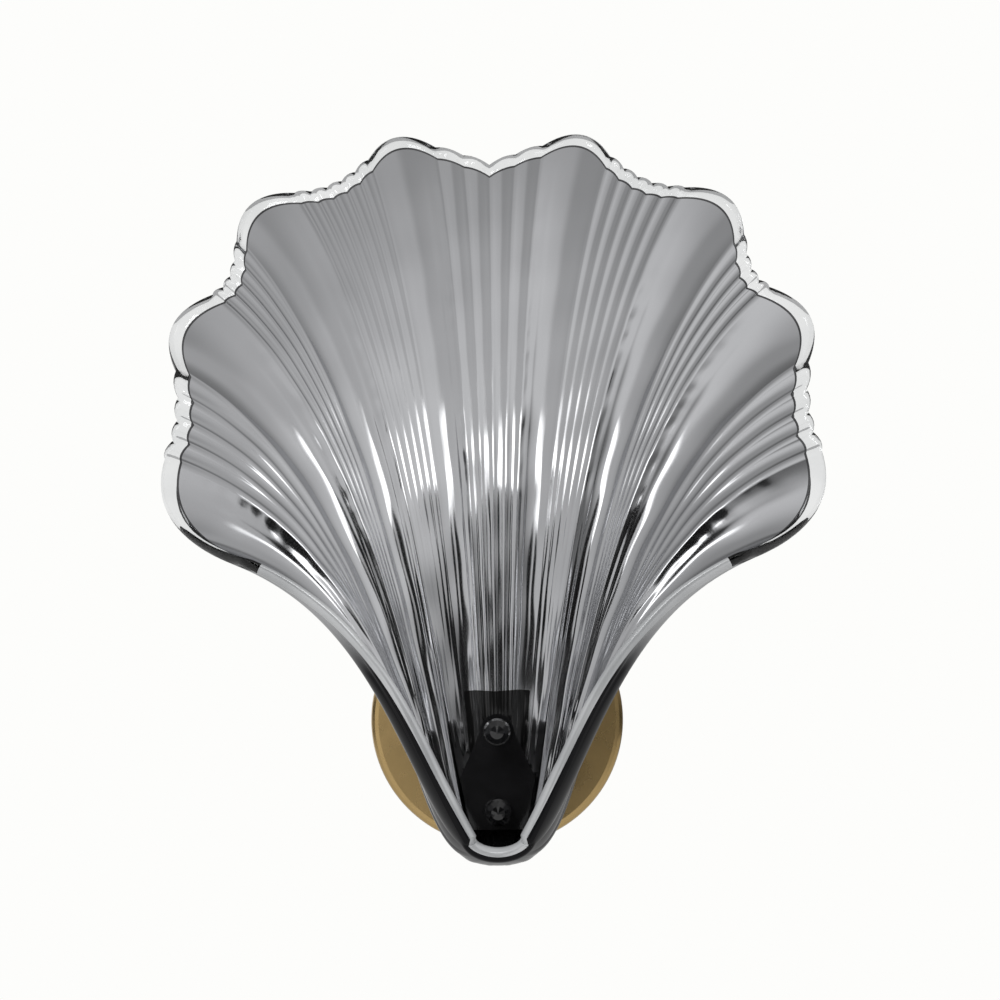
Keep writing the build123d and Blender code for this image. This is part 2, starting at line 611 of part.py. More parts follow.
def build_parts():
    """Every sub-part by name."""
    blank = build_glass_blank()
    pins = bulb_pins()
    rod_bore = ROD_RADIUS + HOLE_CLEARANCE
    nut_far = BRACKET_FRONT
    return {
        "wall_strap": make_wall_strap(),
        "canopy": make_canopy(),
        "canopy_studs": make_canopy_studs(),
        "canopy_nuts": make_canopy_nuts(),
        "earth_screw": make_earth_screw(),
        "terminal_block": make_terminal_block(),
        "terminal_screws": make_terminal_screws(),
        "canopy_grommet": make_grommet(),
        "lamp_lead": make_lamp_lead(),
        "centre_rod": disc_between(ROD_RADIUS, ROD_REAR_STANDOFF, ROD_FRONT_STANDOFF),
        "rod_washer": ring_between(ROD_WASHER_RADIUS, ROD_RADIUS,
                                   CANOPY_INSIDE - WASHER_THICKNESS, CANOPY_INSIDE),
        "rod_nut": hex_nut_between(CANOPY_INSIDE - WASHER_THICKNESS - HEX_HEIGHT,
                                   CANOPY_INSIDE - WASHER_THICKNESS),
        "arm_tube": ring_between(ARM_RADIUS, ARM_BORE_RADIUS, CANOPY_DEPTH, ARM_FRONT_STANDOFF),
        "lamp_bracket": make_lamp_bracket(),
        "rear_clamp_plate": make_clamp_plate(BRACKET_FRONT, CLAMP_REAR_FRONT),
        "rear_gasket": make_gasket(CLAMP_REAR_FRONT, CLAMP_REAR_FRONT + CLAMP_GAP / 2, blank),
        "glass_shell": make_glass_shell(blank),
        "hole_sleeves": make_sleeves(),
        "front_gasket": make_gasket(CLAMP_REAR_FRONT + CLAMP_GAP / 2, CLAMP_FRONT_BACK, blank),
        "front_clamp_plate": make_clamp_plate(CLAMP_FRONT_BACK, CLAMP_FRONT_FACE),
        "nut_washers": [ring_between(WASHER_RADIUS, rod_bore, CLAMP_FRONT_FACE, WASHER_FRONT, 0, z)
                        for z in (0, STUD_Z)],
        "upper_cap_nut": make_cap_nut(0),
        "lower_cap_nut": make_cap_nut(STUD_Z),
        "lower_stud": disc_between(ROD_RADIUS, nut_far - HEX_HEIGHT, ROD_FRONT_STANDOFF, 0, STUD_Z),
        "stud_nut": hex_nut_between(nut_far - HEX_HEIGHT, nut_far, STUD_Z),
        "lampholder": make_lampholder(),
        "holder_contacts": make_holder_contacts(),
        "holder_screw": make_holder_screw(),
        "bulb_envelope": make_bulb_envelope(pins),
        "bulb_pins": pins,
        "bulb_filament": make_filament(),
    }


def main():
    os.makedirs("parts", exist_ok=True)
    for name, shape in build_parts().items():
        solids = shape if isinstance(shape, list) else [shape]
        node = Compound(children=[s for piece in solids for s in piece.solids()])
        export_step(node, f"parts/{name}.step")


main()
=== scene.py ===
"""Looks of the shell wall sconce, in metres, in the same frame as its CAD model.

+Z is up, the wall is the plane y = 0 and the light stands out from it towards -Y. The viewer of
the photograph looks along +Y.
"""

import json
import math

import bmesh
import bpy
import numpy as np
from mathutils import Matrix, Vector


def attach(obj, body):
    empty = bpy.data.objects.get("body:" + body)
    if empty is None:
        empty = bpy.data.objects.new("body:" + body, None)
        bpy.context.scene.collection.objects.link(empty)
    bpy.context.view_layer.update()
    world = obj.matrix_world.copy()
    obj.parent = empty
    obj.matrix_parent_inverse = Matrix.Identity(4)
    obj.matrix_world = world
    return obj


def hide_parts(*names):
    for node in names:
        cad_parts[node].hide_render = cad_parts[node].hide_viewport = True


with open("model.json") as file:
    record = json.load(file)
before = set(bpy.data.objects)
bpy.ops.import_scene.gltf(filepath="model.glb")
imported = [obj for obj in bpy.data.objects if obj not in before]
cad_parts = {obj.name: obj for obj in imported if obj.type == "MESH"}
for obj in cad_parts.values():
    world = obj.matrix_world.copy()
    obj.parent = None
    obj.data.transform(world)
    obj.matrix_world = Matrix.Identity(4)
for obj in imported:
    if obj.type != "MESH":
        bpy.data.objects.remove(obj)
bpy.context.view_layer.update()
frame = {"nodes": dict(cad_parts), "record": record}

MM = 0.001

# ---- camera -----------------------------------------------------------------------------------
CAMERA_PLACE = (0.0024, -1.690, 0.089)
CAMERA_ROLL_DEG = 0.8            # the photographed object leans this much to the left
SENSOR_WIDTH_MM = 36.0
METRES_PER_PIXEL = 0.3875 * MM   # at the shell, 1.6 m from the camera
PICTURE_PIXELS = 1000
SHELL_DISTANCE = 1.6
CAMERA_CLIP = 0.05

# ---- glass shell, the same form as in the CAD model, in mm and degrees -------------------------
SHELL_WALL = 6.0
SHELL_LIP = 3.3                  # reach of the half-round lip's control points
FAN_CENTRE_Z = 64.0
FAN_EDGE_DEG = 87.7
GROUP_DIP = 4.5
RIM_TOP_STANDOFF = 46.0
RIM_LEAN = 0.48
FLUTE_DEPTH = 2.0
LOBE_DEPTH = 7.5
FLUTE_RIM_BULGE = 1.8
LOBE_RIM_BULGE = 10.4
BORDER_ANGLES_DEG = (0.0, 7.3, 16.6, 27.5, 37.7, 45.3, 57.6, 71.0, FAN_EDGE_DEG)
BORDER_RADII = (157.5, 166.5, 167.3, 166.0, 161.8, 151.6, 143.5, 131.5, 92.5)
FLUTES_PER_SPAN = (2, 1, 5, 1, 4, 1, 4, 1)
FLUTE_GROWTH = (0.0, 0.08, 0.2, 0.42, 0.75, 1.0)
SCOOP_HALF_WIDTHS = (9.0, 17.5, 28.0, 38.5, 61.0)
SCOOP_EDGE_STANDOFFS = (122.0, 122.0, 122.0, 126.0, 122.0)
SCOOP_EDGE_HEIGHTS = (-38.0, -22.0, 0.0, 32.0, 54.0)
SCOOP_FLOOR_STANDOFFS = (120.0, 86.0, 84.0, 92.0, 90.0)
SCOOP_FLOOR_HEIGHTS = (-43.0, -54.0, -46.0, 20.0, 148.0)
SCOOP_SQUARENESS = (0.0, 0.3, 0.35, 0.2, 0.1)
RIM_ROW = len(SCOOP_HALF_WIDTHS)
ROWS = RIM_ROW + 1

# ---- glass shell: what the CAD model leaves out, in mm ----------------------------------------
STEPS_ALONG = 180                # mesh rows from toe to rim
STEPS_PER_FLUTE = 6              # mesh columns across a narrow flute
STEPS_PER_LOBE = 22
STEPS_ROUND_LIP = 9
PALE_LIP_STRIPS = 6              # of the lip, counted from the front
STEPS_CLEAR_BAND = 6
STEPS_BAND_EDGE = 1
CLEAR_BAND = 4.2                 # rim that the coat leaves clear
# The dark line where the coat ends is painted shade.
BAND_EDGE = 0.9                  # dark line where the coat ends
NARROW_GROWTH = (0.0, 0.0, 0.0, 0.0, -0.25, 1.0)   # the narrow flutes run out on the way down
# Low down, each lobe spreads over the flutes beside it: borders, and its share by control row.
SPREAD_BORDERS_DEG = (7.3, 27.5, 45.3, 71.0, FAN_EDGE_DEG)
SPREAD_SHARE = (1.0, 1.0, 1.0, 1.0, 0.6, 0.0)
# Spans below are start, end and softness, in shares of the way from the toe to the rim.
RIPPLE_DEPTH = 0.10              # slow waves of the pressed surface
RIPPLE_LENGTH = 46.0
RIPPLE_TURN = 0.31               # radians of the wave for each degree across the fan
RIPPLE_SPAN = (0, 1, 0.1)
SECOND_RIPPLE_SHARE = 0.7
SECOND_RIPPLE_PACE = 1.63
SECOND_RIPPLE_TURN = -0.23
SECOND_RIPPLE_START = 1.0
STREAK_DEPTH = 0.05              # long uneven waves low down, where flutes run together
STREAK_WIDTHS_DEG = (4.3, 6.1, 9.7)
STREAK_SPAN = (0.06, 0.66, 0.15)
STREAK_DRIFT = 38.0
CREASE_SHARE = 0.80              # where across a lobe its smooth face ends in a crease
CREASE_DEPTH = 0.55
CREASE_WIDTH_SHARE = 0.025
CREASE_SPAN = (0.45, 0.99, 0.15)
SEED_STRIP_SHARE = 0.92          # middle of the bubbled strip between the crease and the cusp
SEED_STRIP_WIDTH_SHARE = 0.05
SEED_SPAN = (0.66, 0.985, 0.12)
OUTER_SEED_SPAN = (0.28, 0.56, 0.08)   # a second stretch of the strip, on the outer lobes
OUTER_LOBES_DEG = 37.7
SEED_DEPTH = 0.16
SEED_WAVES = 14
SEED_LENGTHS = (7.0, 26.0)       # along the strip
SEED_TURNS_PER_DEG = 2.6         # across it
SEED_GAIN = 1.2                  # how hard the waves' sum is pressed against its limits
SEED = 11
MIDDLE_GROOVE_DEPTH = 0.35       # fine grooves down the two middle flutes
MIDDLE_GROOVE_WIDTH_SHARE = 0.08
MIDDLE_GROOVE_SPAN = (0.1, 0.83, 0.1)
NORMAL_STEP = 0.01               # steps over which the surface's directions are measured
NORMAL_STEP_DEG = 1.0
SIDE_STEP_SHARE = 0.9
TINY = 1e-9                      # keeps a direction of no length from dividing by zero
PAD_HALF_WIDTH = 13.0            # black pad behind the glass, seen through it round the clamp
PAD_TOP_Z = 13.0
# The edge's black round the toe is a painted dark reflection.
TOE_PAINTED_DARK_Z = 22.0                # the edge is dark from the toe up to here and fades above it
TOE_PAINTED_DARK_FADE = 26.0

# ---- materials --------------------------------------------------------------------------------
NOISE_RANGE = (0.3, 0.7)         # where nearly all of a noise texture's values lie
PATINA_SCALE = 25.0
PATINA_DETAIL = 5.0
GRAIN_ROUGHNESS = 0.6
METAL_GLOSS_SPREAD = (0.8, 1.25)       # lowest and highest share of a material's roughness
SOLID_GLOSS_SPREAD = (0.85, 1.2)
METAL_BUMP = (0.08, 0.00005)           # strength, and height in metres
SOLID_BUMP_HEIGHT = 0.0001
RIM_BUMP = (0.35, 0.0006)
# Colour of the painted dark reflection on the edge round the toe.
TOE_PAINTED_DARK = (0.006, 0.006, 0.007)
# The Mix node's factor, first and second inputs and its output, for each kind of value.
MIX_SOCKETS = {"FLOAT": (0, 2, 3, 0), "RGBA": (0, 6, 7, 2)}


# ---- shader helpers ---------------------------------------------------------------------------
class Nodes:
    """A material's node tree, with short calls to add and link nodes."""

    def __init__(self, name):
        self.material = bpy.data.materials.new(name)
        self.material.use_nodes = True
        self.tree = self.material.node_tree
        self.bsdf = self.tree.nodes["Principled BSDF"]

    def add(self, kind, **settings):
        node = self.tree.nodes.new(kind)
        for key, value in settings.items():
            setattr(node, key, value)
        return node

    def link(self, source, target):
        self.tree.links.new(source, target)

    def feed(self, socket, value):
        """Gives a socket a plain number, a colour or another node's output."""
        if hasattr(value, "links"):
            self.link(value, socket)
        else:
            socket.default_value = (*value, 1) if isinstance(value, tuple) else value

    def set(self, **values):
        """Fills the Principled shader's inputs, with an underscore for each blank in a name."""
        for key, value in values.items():
            self.feed(self.bsdf.inputs[key.replace("_", " ")], value)

    def show(self, shader):
        """Puts another shader in the place of the Principled one."""
        self.tree.nodes.remove(self.bsdf)
        output = next(node for node in self.tree.nodes if node.type == "OUTPUT_MATERIAL")
        self.link(shader, output.inputs["Surface"])

    def place(self):
        return self.add("ShaderNodeTexCoord").outputs["Object"]

    def axes(self):
        """The place's X, Y and Z."""
        parts = self.add("ShaderNodeSeparateXYZ")
        self.link(self.place(), parts.inputs["Vector"])
        return (parts.outputs[axis] for axis in "XYZ")

    def noise(self, scale, detail=3.0, roughness=0.5, stretch=(1, 1, 1)):
        mapping = self.add("ShaderNodeMapping")
        mapping.inputs["Scale"].default_value = stretch
        self.link(self.place(), mapping.inputs["Vector"])
        texture = self.add("ShaderNodeTexNoise")
        texture.inputs["Scale"].default_value = scale
        texture.inputs["Detail"].default_value = detail
        texture.inputs["Roughness"].default_value = roughness
        self.link(mapping.outputs["Vector"], texture.inputs["Vector"])
        return texture.outputs["Fac"]

    def ramp(self, source, low, high, start=NOISE_RANGE[0], end=NOISE_RANGE[1]):
        """Eases from low to high while the source goes from start to end."""
        node = self.add("ShaderNodeMapRange", interpolation_type="SMOOTHSTEP")
        self.link(source, node.inputs["Value"])
        names = ("From Min", "From Max", "To Min", "To Max")
        for name, value in zip(names, (start, end, low, high)):
            node.inputs[name].default_value = value
        return node.outputs["Result"]

    def band(self, angle, start_deg, end_deg, low, high):
        return self.ramp(angle, low, high, math.radians(start_deg), math.radians(end_deg))

    def window(self, angle, start_deg, end_deg, soft_deg):
        """1 between two angles and 0 outside them, with soft edges."""
        opened = self.band(angle, start_deg - soft_deg, start_deg + soft_deg, 0.0, 1.0)
        closed = self.band(angle, end_deg - soft_deg, end_deg + soft_deg, 1.0, 0.0)
        return self.maths("MULTIPLY", opened, closed)

    def maths(self, operation, first, second=0.0):
        node = self.add("ShaderNodeMath", operation=operation)
        self.feed(node.inputs[0], first)
        self.feed(node.inputs[1], second)
        return node.outputs["Value"]

    def blend(self, factor, first, second, kind="FLOAT"):
        """Goes from the first value to the second with a factor."""
        node = self.add("ShaderNodeMix", data_type=kind)
        *inputs, output = MIX_SOCKETS[kind]
        for index, value in zip(inputs, (factor, first, second)):
            self.feed(node.inputs[index], value)
        return node.outputs[output]

    def mix_colour(self, factor, first, second):
        return self.blend(factor, first, second, kind="RGBA")

    def uneven(self, low, high, scale, detail=2.0):
        """Number that noise carries from low to high."""
        return self.ramp(self.noise(scale, detail), low, high)

    def two_tone(self, first, second, scale, detail=4.0):
        """Colour that noise carries from the first to the second."""
        return self.mix_colour(self.uneven(0.0, 1.0, scale, detail), first, second)

    def bump(self, source, strength, distance):
        node = self.add("ShaderNodeBump")
        node.inputs["Strength"].default_value = strength
        node.inputs["Distance"].default_value = distance
        self.link(source, node.inputs["Height"])
        self.link(node.outputs["Normal"], self.bsdf.inputs["Normal"])


def smoke_mirror():
    """Smoke grey mirror coat on pressed glass."""
    n = Nodes("smoke_mirror_glass")
    n.set(Metallic=1.0, Base_Color=n.two_tone((0.58, 0.585, 0.60), (0.52, 0.525, 0.54), scale=11.0),
          Roughness=n.uneven(0.10, 0.14, scale=40.0))
    return n.material


def smoke_edge():
    """The coat on the edge and back, with black painted round the toe for the dark that the edge
    reflects.
    """
    n = Nodes("smoke_edge_glass_painted_dark_toe")
    _, _, z = n.axes()
    # Below this height the edge is painted black and made nearly unreflective: a painted dark
    # reflection.
    height = n.ramp(z, 0.0, 1.0, TOE_PAINTED_DARK_Z * MM, (TOE_PAINTED_DARK_Z + TOE_PAINTED_DARK_FADE) * MM)
    light = n.two_tone((0.56, 0.565, 0.575), (0.50, 0.505, 0.515), scale=14.0)
    n.set(Specular_IOR_Level=0.12, Metallic=height,
          Base_Color=n.mix_colour(height, TOE_PAINTED_DARK, light),
          Roughness=n.uneven(0.03, 0.08, scale=50.0))
    return n.material


def clear_rim_glass():
    """Clear glass of the rim that the coat leaves free, faintly wavy."""
    n = Nodes("clear_rim_glass")
    n.set(Transmission_Weight=1.0, IOR=1.48, Roughness=n.uneven(0.01, 0.06, scale=70.0),
          Base_Color=n.two_tone((0.82, 0.825, 0.835), (0.72, 0.73, 0.74), scale=40.0, detail=2.0))
    n.bump(n.noise(130.0, detail=2.0), *RIM_BUMP)
    return n.material


def pale_edge():
    """Front of the glass's edge below the fan: a pale grey line painted for the pale surround that
    the edge reflects and lets through.
    """
    n = Nodes("painted_pale_edge_glass")
    n.set(Metallic=0.25, Coat_Weight=0.6, Coat_Roughness=0.03,
          Base_Color=n.two_tone((0.60, 0.61, 0.62), (0.45, 0.46, 0.47), scale=30.0),
          Roughness=n.uneven(0.10, 0.25, scale=60.0))
    return n.material


def metal(name, first, second, roughness, grain_scale, stretch=(1, 1, 1)):
    """Metal of two drifting tones, with a fine grain that a stretch draws out."""
    n = Nodes(name)
    grain = n.noise(grain_scale, roughness=GRAIN_ROUGHNESS, stretch=stretch)
    patina = n.ramp(n.noise(PATINA_SCALE, PATINA_DETAIL, GRAIN_ROUGHNESS), 0.0, 1.0)
    gloss = n.ramp(grain, *(roughness * share for share in METAL_GLOSS_SPREAD))
    n.set(Metallic=1.0, Base_Color=n.mix_colour(patina, first, second), Roughness=gloss)
    n.bump(grain, *METAL_BUMP)
    return n.material


def solid_material(name, first, second, roughness, scale, bump=0.15, **extra):
    """Enamel, rubber, ceramic or plastic: two mottled tones and a slightly uneven gloss."""
    n = Nodes(name)
    mottle = n.noise(scale, detail=4.0)
    gloss = n.ramp(mottle, *(roughness * share for share in SOLID_GLOSS_SPREAD))
    n.set(Base_Color=n.mix_colour(n.ramp(mottle, 0.0, 1.0), first, second), Roughness=gloss,
          **extra)
    n.bump(mottle, bump, SOLID_BUMP_HEIGHT)
    return n.material


def clear_bulb_glass():
    n = Nodes("clear_quartz_glass")
    n.set(Transmission_Weight=1.0, IOR=1.46, Roughness=n.uneven(0.0, 0.03, scale=200.0),
          Base_Color=n.mix_colour(n.noise(60.0), (0.98, 0.98, 0.98), (0.95, 0.955, 0.96)))
    return n.material


MIRROR = smoke_mirror()
EDGE = smoke_edge()
CLEAR = clear_rim_glass()
PALE = pale_edge()
BLACK = solid_material("gloss_black_enamel", (0.006, 0.006, 0.0065), (0.010, 0.010, 0.011),
                       roughness=0.12, scale=60.0, bump=0.03, Coat_Weight=0.4, Coat_Roughness=0.03)
PAD = solid_material("black_pad_under_glass", (0.006, 0.006, 0.006), (0.009, 0.009, 0.009),
                     roughness=0.06, scale=40.0, bump=0.03)
# Painted shade: the dark line along the coat's end at the rim.
LINE = solid_material("painted_shade_at_coat_end", (0.035, 0.035, 0.037), (0.075, 0.075, 0.078),
                      roughness=0.12, scale=90.0, bump=0.03)
SLOTS = (MIRROR, CLEAR, EDGE, PAD, LINE, PALE)
CAD_LOOKS = {
    "glass_smoke": MIRROR,
    "brass_satin": metal("satin_antique_brass", (0.56, 0.395, 0.178), (0.52, 0.365, 0.160),
                         roughness=0.27, grain_scale=60.0),
    "brass_polished": metal("polished_brass", (0.62, 0.44, 0.20), (0.55, 0.38, 0.17),
                            roughness=0.16, grain_scale=500.0),
    "black_gloss_metal": BLACK,
    "zinc_steel": metal("bright_zinc", (0.58, 0.59, 0.61), (0.46, 0.47, 0.49),
                        roughness=0.27, grain_scale=300.0, stretch=(1, 1, 8)),
    "black_rubber": solid_material("black_rubber", (0.012, 0.012, 0.012), (0.02, 0.02, 0.02),
                                   roughness=0.6, scale=900.0),
    "ceramic_white": solid_material("glazed_steatite", (0.80, 0.79, 0.75), (0.74, 0.73, 0.69),
                                    roughness=0.22, scale=150.0, Coat_Weight=0.3),
    "terminal_plastic": solid_material("natural_nylon", (0.76, 0.76, 0.72), (0.70, 0.70, 0.66),
                                       roughness=0.42, scale=500.0),
    "lead_sleeve": solid_material("silicone_sleeve", (0.02, 0.02, 0.021), (0.03, 0.03, 0.031),
                                  roughness=0.5, scale=1200.0),
    "bulb_glass": clear_bulb_glass(),
    "bulb_wire": metal("lamp_wire", (0.45, 0.45, 0.46), (0.35, 0.35, 0.36),
                       roughness=0.3, grain_scale=800.0),
}


def put_in_scene(name, data):
    piece = bpy.data.objects.new(name, data)
    bpy.context.scene.collection.objects.link(piece)
    return piece


def dress_cad_nodes():
    """Gives every carried-over CAD node its finish."""
    slots = {row["node"]: row["material_slot"] for row in frame["record"]["subparts"]}
    for name, node in frame["nodes"].items():
        node.data.materials.clear()
        node.data.materials.append(CAD_LOOKS[slots[name]])


# ---- the shell's surface, in arrays over fan angle --------------------------------------------
def mix(a, b, share):
    return a + (b - a) * share


def hump(value, middle, half_width):
    """Smooth bump of height 1 round a middle value."""
    return np.exp(-((value - middle) / half_width) ** 2)


def rim_radius(angle):
    """Distance of the rim from the fan's centre, seen from the front."""
    angle = np.abs(angle)
    radius = np.full(angle.shape, BORDER_RADII[-1], dtype=float)
    for i, count in enumerate(FLUTES_PER_SPAN):
        start, end = BORDER_ANGLES_DEG[i:i + 2]
        share = (angle - start) / (end - start)
        dip = 4 * GROUP_DIP * share * (1 - share) if count > 1 and i > 0 else 0
        inside = (angle >= start) & (angle <= end)
        radius = np.where(inside, mix(*BORDER_RADII[i:i + 2], share) - dip, radius)
    return radius


def control(row, angle):
    """Control points of the smooth surface at an array of fan angles: shape (..., 3)."""
    angle = np.asarray(angle, dtype=float)
    if row < RIM_ROW:
        turn = np.radians(90 * angle / FAN_EDGE_DEG)
        squareness = SCOOP_SQUARENESS[row]
        across = np.sin(turn) * (1 + squareness * np.cos(turn) ** 2)
        inward = np.cos(turn) * (1 + squareness * np.sin(turn) ** 2)
        standoff = mix(SCOOP_EDGE_STANDOFFS[row], SCOOP_FLOOR_STANDOFFS[row], inward)
        height = mix(SCOOP_EDGE_HEIGHTS[row], SCOOP_FLOOR_HEIGHTS[row], inward)
        return np.stack([SCOOP_HALF_WIDTHS[row] * across, -standoff, height], axis=-1)
    radius = rim_radius(angle)
    height = radius * np.cos(np.radians(angle))
    drop = BORDER_RADII[0] - height
    return np.stack([radius * np.sin(np.radians(angle)), -RIM_TOP_STANDOFF - RIM_LEAN * drop,
                     FAN_CENTRE_Z + height], axis=-1)


def bernstein(row, along):
    return math.comb(RIM_ROW, row) * along ** row * (1 - along) ** (RIM_ROW - row)


def on_surface(angle, along):
    return sum(control(row, angle) * bernstein(row, along) for row in range(ROWS))


def unit(vectors):
    return vectors / np.linalg.norm(vectors, axis=-1, keepdims=True)


def outward(row, angle):
    """Unit normals away from the viewer, where a row of control points acts the most."""
    along = min(max(row / RIM_ROW, NORMAL_STEP), 1 - NORMAL_STEP)
    down_flute = on_surface(angle, along + NORMAL_STEP) - on_surface(angle, along - NORMAL_STEP)
    across = on_surface(angle + NORMAL_STEP_DEG, along) - on_surface(angle - NORMAL_STEP_DEG, along)
    return unit(np.cross(down_flute, across))


def past_edge(row, angle):
    """Unit directions in which the lip stands out at the surface's border."""
    angle = np.asarray(angle, dtype=float)
    direction = np.zeros(angle.shape + (3,))
    if row == RIM_ROW:
        direction += unit(control(RIM_ROW, angle) - control(RIM_ROW - 1, angle))
    if row == 0:
        direction += unit(control(0, angle) - control(1, angle))
    at_side = (np.abs(angle) == FAN_EDGE_DEG)[..., None]
    sideways = unit(control(row, angle) - control(row, SIDE_STEP_SHARE * angle) + TINY)
    return unit(direction + np.where(at_side, sideways, 0.0))


class Columns:
    """Mesh columns from the left side edge to the right one, as arrays with one entry each."""

    def __init__(self):
        spans = list(zip(BORDER_ANGLES_DEG, BORDER_ANGLES_DEG[1:], FLUTES_PER_SPAN))
        spans = [(-end, -start, count) for start, end, count in spans][::-1] + spans
        entries = []
        for start, end, count in spans:
            steps = STEPS_PER_LOBE if count == 1 else STEPS_PER_FLUTE
            for flute in range(count):
                first = mix(start, end, flute / count)
                last = mix(start, end, (flute + 1) / count)
                entries += [(first, last, step / steps, count == 1) for step in range(steps)]
        entries.append((spans[-1][0], FAN_EDGE_DEG, 1.0, True))
        first, last, share, self.is_lobe = (np.array(column) for column in zip(*entries))
        self.angle = mix(first, last, share)
        self.middle = (first + last) / 2
        self.arc = 4 * share * (1 - share)
        self.depth = np.where(self.is_lobe, LOBE_DEPTH, FLUTE_DEPTH)
        self.bulge = np.where(self.is_lobe, LOBE_RIM_BULGE, FLUTE_RIM_BULGE)
        self.narrow = ~self.is_lobe & (np.abs(self.middle) > BORDER_ANGLES_DEG[1])
        self.spread_arc = np.zeros_like(self.angle)
        for start, end in zip(SPREAD_BORDERS_DEG, SPREAD_BORDERS_DEG[1:]):
            part = (np.abs(self.angle) - start) / (end - start)
            self.spread_arc += np.where((part > 0) & (part < 1), 4 * part * (1 - part), 0)
        self.from_outside = np.where(self.middle < 0, share, 1 - share)


def row_points(row, columns, back):
    """A row of control points for every column, with its flutes."""
    normal = outward(row, columns.angle)
    depth = np.where(columns.is_lobe | (not back), columns.depth, 0)
    growth = np.where(columns.narrow, NARROW_GROWTH[row], FLUTE_GROWTH[row])
    offset = depth * columns.arc * growth
    if not back:
        spread = LOBE_DEPTH * columns.spread_arc * FLUTE_GROWTH[row]
        share = np.where(np.abs(columns.angle) > SPREAD_BORDERS_DEG[0], SPREAD_SHARE[row], 0)
        offset = mix(offset, spread, share)
    points = control(row, columns.angle) + normal * offset[:, None]
    if back:
        points += normal * SHELL_WALL
    if row == RIM_ROW:
        turn = np.radians(columns.middle)
        radial = np.stack([np.sin(turn), np.zeros_like(turn), np.cos(turn)], axis=-1)
        points += radial * (columns.bulge * columns.arc)[:, None]
    return points


def seeds(angle, distance):
    """Irregular small waves, drawn out along the flutes, between about -1 and 1."""
    draw = np.random.default_rng(SEED)
    total = np.zeros(distance.shape)
    for _ in range(SEED_WAVES):
        along = 2 * math.pi / draw.uniform(*SEED_LENGTHS)
        across = draw.uniform(-SEED_TURNS_PER_DEG, SEED_TURNS_PER_DEG)
        total += np.sin(along * distance + across * angle + draw.uniform(0, 2 * math.pi))
    return np.tanh(SEED_GAIN * total / math.sqrt(SEED_WAVES / 2))


def between(value, start, end, soft):
    """1 between start and end, with soft ends."""
    return np.clip((value - start) / soft, 0, 1) * np.clip((end - value) / soft, 0, 1)


def relief(columns, along, distance):
    """Fine relief of the front away from the viewer, by row and column, in mm."""
    angle = columns.angle[None]
    phase = 2 * math.pi * distance / RIPPLE_LENGTH
    ripple = np.sin(phase + RIPPLE_TURN * angle) + SECOND_RIPPLE_SHARE * np.sin(
        SECOND_RIPPLE_PACE * phase + SECOND_RIPPLE_TURN * angle + SECOND_RIPPLE_START)
    ripple *= between(along, *RIPPLE_SPAN)
    streak = sum(np.sin(2 * math.pi * (angle / width + distance / (STREAK_DRIFT * width)) + width)
                 for width in STREAK_WIDTHS_DEG)
    streak = streak * between(along, *STREAK_SPAN)
    share = columns.from_outside[None]
    lobe = columns.is_lobe[None].astype(float)
    crease = hump(share, CREASE_SHARE, CREASE_WIDTH_SHARE) * lobe * between(along, *CREASE_SPAN)
    outer = (np.abs(columns.middle) > OUTER_LOBES_DEG)[None].astype(float)
    strip = hump(share, SEED_STRIP_SHARE, SEED_STRIP_WIDTH_SHARE) * lobe
    strip = strip * (between(along, *SEED_SPAN) + outer * between(along, *OUTER_SEED_SPAN))
    middle = (np.abs(columns.middle) < BORDER_ANGLES_DEG[1] / 2)[None]
    groove = hump(columns.arc[None], 1.0, MIDDLE_GROOVE_WIDTH_SHARE) * middle
    groove = groove * between(along, *MIDDLE_GROOVE_SPAN)
    return (RIPPLE_DEPTH * ripple + STREAK_DEPTH * streak - CREASE_DEPTH * crease
            + SEED_DEPTH * seeds(angle, distance) * strip - MIDDLE_GROOVE_DEPTH * groove)


def evaluate(rows, along):
    return sum(bernstein(row, along)[..., None] * rows[row][None] for row in range(ROWS))


def distance_along(grid):
    """Length of every column from the toe to each of its points."""
    steps = np.linalg.norm(np.diff(grid, axis=0), axis=-1)
    return np.concatenate([np.zeros((1, grid.shape[1])), np.cumsum(steps, axis=0)])


def row_places(rows):
    """Place of each mesh row on each column, with rows along the coat's end at the rim."""
    even = np.linspace(0, 1, STEPS_ALONG + 1)
    length = distance_along(evaluate(rows, np.repeat(even[:, None], rows[0].shape[0], axis=1)))
    marks = [np.zeros(length.shape[1])]
    for band in (CLEAR_BAND + BAND_EDGE, CLEAR_BAND):
        marks.append(np.array([np.interp(column[-1] - band, column, even) for column in length.T]))
    marks.append(np.ones(length.shape[1]))
    steps = (STEPS_ALONG - STEPS_BAND_EDGE - STEPS_CLEAR_BAND, STEPS_BAND_EDGE, STEPS_CLEAR_BAND)
    places = [mix(start, end, share) for start, end, count in zip(marks, marks[1:], steps)
              for share in np.arange(count) / count]
    return np.array(places + [marks[-1]])


def face_grid(columns, back):
    """Points of the front or back face: shape (STEPS_ALONG + 1, columns, 3)."""
    rows = [row_points(row, columns, back) for row in range(ROWS)]
    along = row_places(rows)
    grid = evaluate(rows, along)
    if back:
        return grid
    normal = unit(np.cross(np.gradient(grid, axis=0), np.gradient(grid, axis=1)))
    return grid + normal * relief(columns, along, distance_along(grid))[..., None]


def border_loop(grid):
    """A grid's border, once round, starting at the toe's left corner."""
    return np.concatenate([grid[0, :-1], grid[:-1, -1], grid[-1, :0:-1], grid[:0:-1, 0]])


